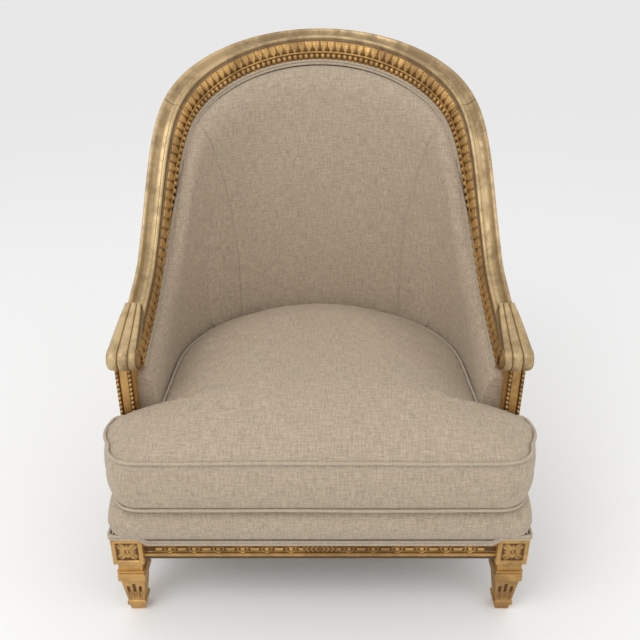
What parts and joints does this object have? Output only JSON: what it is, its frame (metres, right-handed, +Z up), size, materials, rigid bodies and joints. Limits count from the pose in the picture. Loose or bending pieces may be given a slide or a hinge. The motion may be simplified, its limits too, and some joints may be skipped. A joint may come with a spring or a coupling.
{
  "type": "upholstered armchair",
  "caption": "Low round-backed armchair with a carved gilded show frame, upholstered tub back and arms, fixed seat and loose seat cushion.",
  "frame": {"origin": "on the floor, under the centre of the chair's overall box", "axes": "+Z up, +Y towards the back of the chair, +X to the right as seen from the front"},
  "size_m": [0.716, 0.7439, 0.9232],
  "materials": {
    "giltwood": "carved wood with worn antique gold leaf over warm brown clay",
    "beech": "bare beech",
    "linen": "slubby plain weave linen",
    "welt_linen": "linen covered double cord",
    "stuffing": "hair and wadding",
    "canvas": "plain hessian",
    "webbing": "woven jute",
    "spring_steel": "copper washed wire"
  },
  "bodies": {
    "frame": {"rail_dowels": "beech", "inner_double_welt": "welt_linen", "back_leg_right": "giltwood", "back_leg_left": "giltwood", "crest_rail": "giltwood", "front_seat_rail": "giltwood", "side_seat_rail_right": "giltwood", "side_seat_rail_left": "giltwood", "back_seat_rail": "giltwood", "front_leg_right": "giltwood", "front_leg_left": "giltwood", "corner_blocks": "beech", "arm_rail_right": "giltwood", "arm_rail_left": "giltwood", "arm_post_right": "giltwood", "arm_post_left": "giltwood", "back_tacking_rail": "beech", "side_tacking_rail_right": "beech", "side_tacking_rail_left": "beech", "inside_back_pad": "linen", "inside_wing_pad_right": "linen", "inside_wing_pad_left": "linen", "outside_back_cover": "linen", "outside_arm_cover_right": "linen", "outside_arm_cover_left": "linen", "seat_stuffing": "stuffing", "seat_deck_cover": "linen", "spring_canvas": "canvas", "seat_springs": "spring_steel", "webbing_lengthways": "webbing", "webbing_crossways": "webbing", "dust_cover": "canvas"},
    "cushion": {"cushion_cover": "linen", "cushion_fill": "stuffing"}
  },
  "joints": [
    {"name": "cushion_lift", "type": "slide", "parent": "frame", "child": "cushion", "axis": [0, -0.5, 0.866], "range_m": [0, 0.5]}
  ]
}
